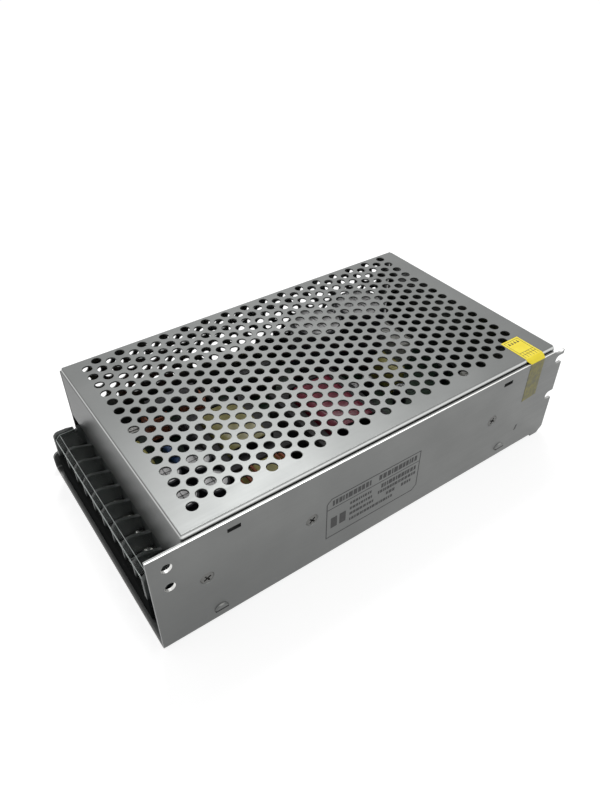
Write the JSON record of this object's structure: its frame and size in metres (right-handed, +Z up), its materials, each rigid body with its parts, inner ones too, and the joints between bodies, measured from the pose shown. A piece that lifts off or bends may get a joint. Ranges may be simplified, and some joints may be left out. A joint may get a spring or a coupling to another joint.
{
  "type": "switching power supply",
  "caption": "Switching power supply in a folded sheet case with a perforated cover, a slotted side tab and a screw terminal block under a hinged clear lid.",
  "frame": {"origin": "middle of the case's underside", "axes": "+X towards the slotted mounting tab, -X the terminal end, -Y the plain near wall, +Y the perforated far wall, +Z up through the perforated top"},
  "size_m": [0.199, 0.1112, 0.0501],
  "materials": {
    "chassis_steel": "satin zinc plated sheet",
    "cover_steel": "bright satin sheet",
    "plated_screw": "plated",
    "dark_screw": "dark plated",
    "board_green": "satin laminate",
    "film_grey": "satin film",
    "black_plastic": "satin moulded",
    "tinned_metal": "tin plated",
    "clear_plastic": "clear moulded",
    "bar_aluminium": "extruded",
    "pad_grey": "matt",
    "device_black": "matt epoxy",
    "ferrite": "matt ferrite",
    "tape_red": "polyester tape",
    "tape_yellow": "polyester tape",
    "copper_wire": "enamelled copper",
    "core_paint": "painted iron powder",
    "sleeve_dark": "shrunk sleeve",
    "sleeve_black": "shrunk sleeve",
    "film_yellow": "moulded box",
    "disc_blue": "dipped coating",
    "limiter_dark": "dipped coating",
    "ceramic_white": "matt ceramic",
    "fuse_glass": "clear",
    "nickel": "nickel plated",
    "trimmer_blue": "moulded",
    "rotor_white": "moulded",
    "lamp_green": "clear tinted",
    "sticker_yellow": "printed film"
  },
  "bodies": {
    "supply": {"chassis": "chassis_steel", "mesh_cover": "cover_steel", "cover_screws": "plated_screw", "circuit_board": "board_green", "insulating_sheet": "film_grey", "standoffs": "plated_screw", "board_screws": "plated_screw", "terminal_block": "black_plastic", "terminal_contacts": "tinned_metal", "terminal_clamps": "tinned_metal", "terminal_screws": "tinned_metal", "output_heat_bar": "bar_aluminium", "input_heat_bar": "bar_aluminium", "insulating_pads": "pad_grey", "output_rectifiers": "device_black", "switching_transistors": "device_black", "clamp_strips": "plated_screw", "wall_screws": "dark_screw", "main_transformer_core": "ferrite", "main_transformer_bobbin": "black_plastic", "main_transformer_winding": "tape_red", "drive_transformer_core": "ferrite", "drive_transformer_bobbin": "black_plastic", "drive_transformer_winding": "tape_yellow", "output_choke_core": "core_paint", "output_choke_winding": "copper_wire", "mains_choke_core": "ferrite", "mains_choke_windings": "copper_wire", "bulk_capacitors": "sleeve_black", "output_capacitors": "sleeve_dark", "small_capacitors": "sleeve_dark", "film_capacitors": "film_yellow", "disc_capacitors": "disc_blue", "inrush_limiter": "limiter_dark", "bridge_rectifier": "device_black", "controller_chip": "device_black", "power_resistors": "ceramic_white", "fuse_glass": "fuse_glass", "fuse_caps": "nickel", "fuse_clips": "nickel", "trimmer_body": "trimmer_blue", "indicator_lamp": "lamp_green", "seal_sticker": "sticker_yellow"},
    "lid": {"terminal_cover": "clear_plastic"},
    "trimmer": {"trimmer_screw": "rotor_white"}
  },
  "joints": [
    {"name": "lid_hinge", "type": "hinge", "parent": "supply", "child": "lid", "pos_m": [-0.0888, 0.00225, 0.024], "axis": [0, 1, 0], "range_deg": [0, 90]},
    {"name": "trimmer_turn", "type": "hinge", "parent": "supply", "child": "trimmer", "pos_m": [-0.092, -0.0462, 0.0129], "axis": [0, 0, 1], "range_deg": [-115, 115]}
  ]
}
